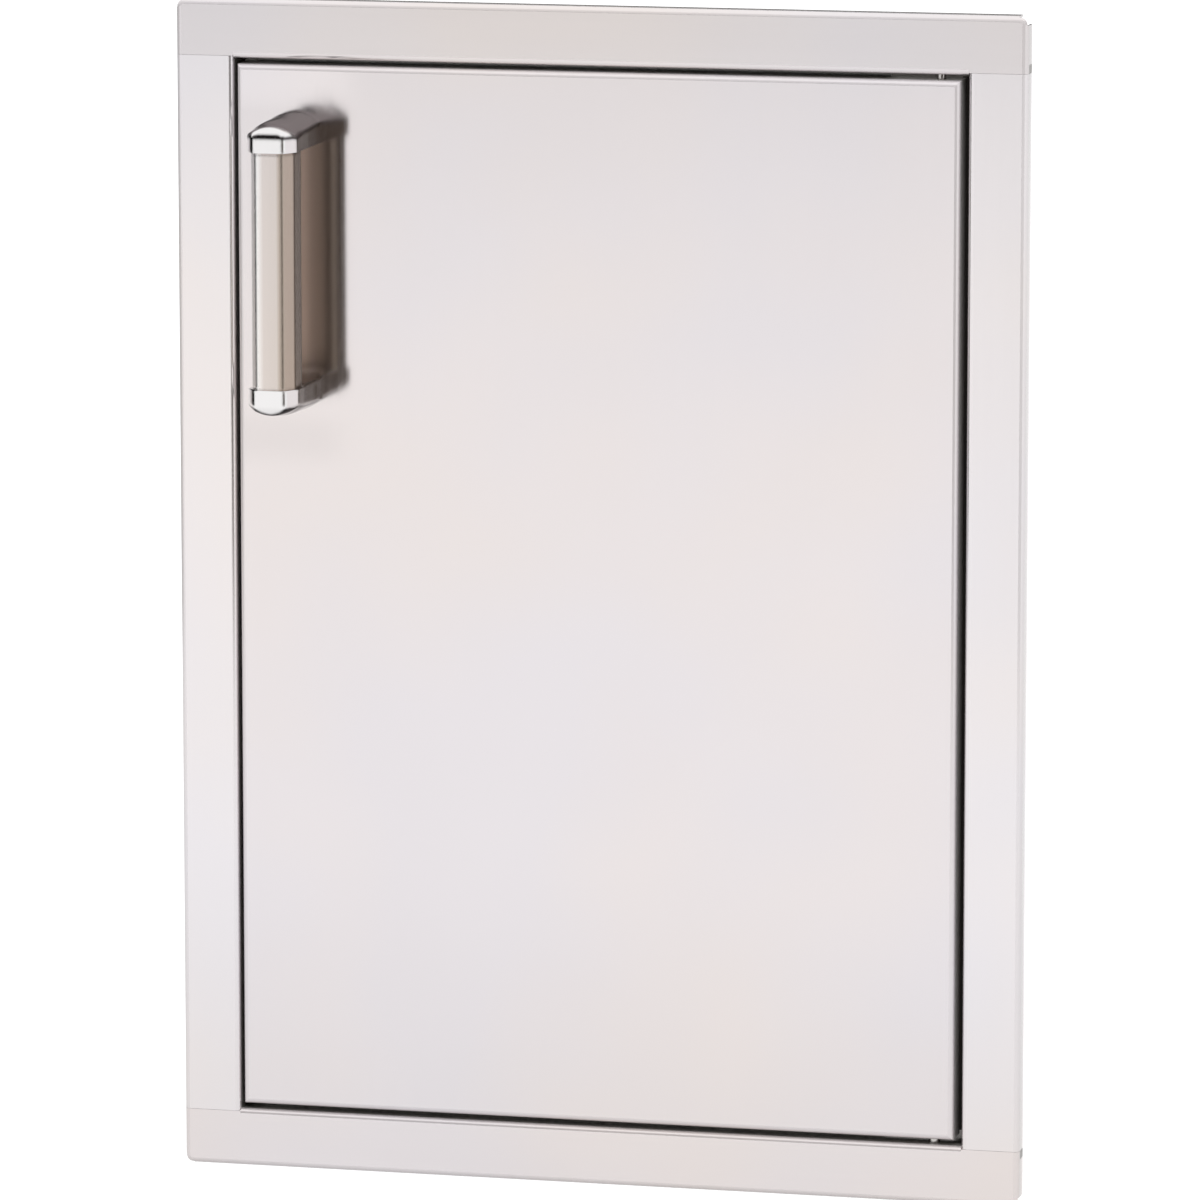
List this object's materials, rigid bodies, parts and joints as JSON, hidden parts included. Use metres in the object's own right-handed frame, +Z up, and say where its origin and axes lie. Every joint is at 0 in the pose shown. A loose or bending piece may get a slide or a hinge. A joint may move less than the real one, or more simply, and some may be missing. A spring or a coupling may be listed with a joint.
{
  "type": "barbecue island access door",
  "caption": "Flush stainless access door in a folded frame for an outdoor kitchen, with a grip handle, magnet catches and a spring-loaded upper pivot pin.",
  "frame": {"origin": "centre of the wall's cut-out, on the face of the wall that the frame's outer returns rest on", "axes": "+X to the hinge side (right, seen from the front), +Y into the island, +Z up"},
  "size_m": [0.47, 0.121, 0.648],
  "materials": {
    "brushed_frame": "brushed along each piece",
    "brushed_door": "brushed upright",
    "brushed_grip": "brushed upright",
    "plain_stainless": "plain cold-rolled",
    "chromed_casting": "polished and chromed",
    "turned_stainless": "turned",
    "zinc_plated_steel": "bright zinc plating",
    "white_nylon": "moulded",
    "grey_plastic": "moulded",
    "ferrite": "sintered"
  },
  "bodies": {
    "frame": {"frame_top_rail": "brushed_frame", "frame_bottom_rail": "brushed_frame", "frame_hinge_stile": "brushed_frame", "frame_latch_stile": "brushed_frame", "corner_splice_plates": "plain_stainless", "latch_stop_strip": "plain_stainless", "top_stop_strip": "plain_stainless", "bottom_stop_strip": "plain_stainless", "door_bumpers": "white_nylon", "catch_housings": "grey_plastic", "catch_magnets": "ferrite", "catch_pole_plates": "zinc_plated_steel", "catch_screws": "zinc_plated_steel", "upper_pivot_plate": "plain_stainless", "upper_pivot_bushing": "white_nylon", "lower_pivot_plate": "plain_stainless", "lower_pivot_pin": "turned_stainless"},
    "door": {"door_outer_skin": "brushed_door", "door_liner": "plain_stainless", "door_stiffeners": "plain_stainless", "handle_backing_plate": "plain_stainless", "handle_grip": "brushed_grip", "upper_handle_end": "chromed_casting", "lower_handle_end": "chromed_casting", "handle_washers": "zinc_plated_steel", "handle_screws": "zinc_plated_steel", "liner_hole_plugs": "grey_plastic", "strike_plates": "zinc_plated_steel", "strike_rivets": "zinc_plated_steel", "lower_hinge_plate": "plain_stainless", "lower_pivot_bushing": "white_nylon", "pin_guide_bracket": "plain_stainless", "upper_door_bushing": "white_nylon", "pin_spring": "turned_stainless"},
    "sprung_pin": {"upper_pivot_pin": "turned_stainless", "pin_clip": "turned_stainless", "pin_lever": "turned_stainless"}
  },
  "joints": [
    {"name": "door_swing", "type": "hinge", "parent": "frame", "child": "door", "pos_m": [0.1866, -0.0025, 0], "axis": [0, 0, 1], "range_deg": [0, 110]},
    {"name": "pin_pull", "type": "slide", "parent": "door", "child": "sprung_pin", "axis": [0, 0, -1], "range_m": [0, 0.008], "stiffness_N_per_m": 2400, "springref_m": -0.005, "deforming": ["pin_spring"]}
  ]
}
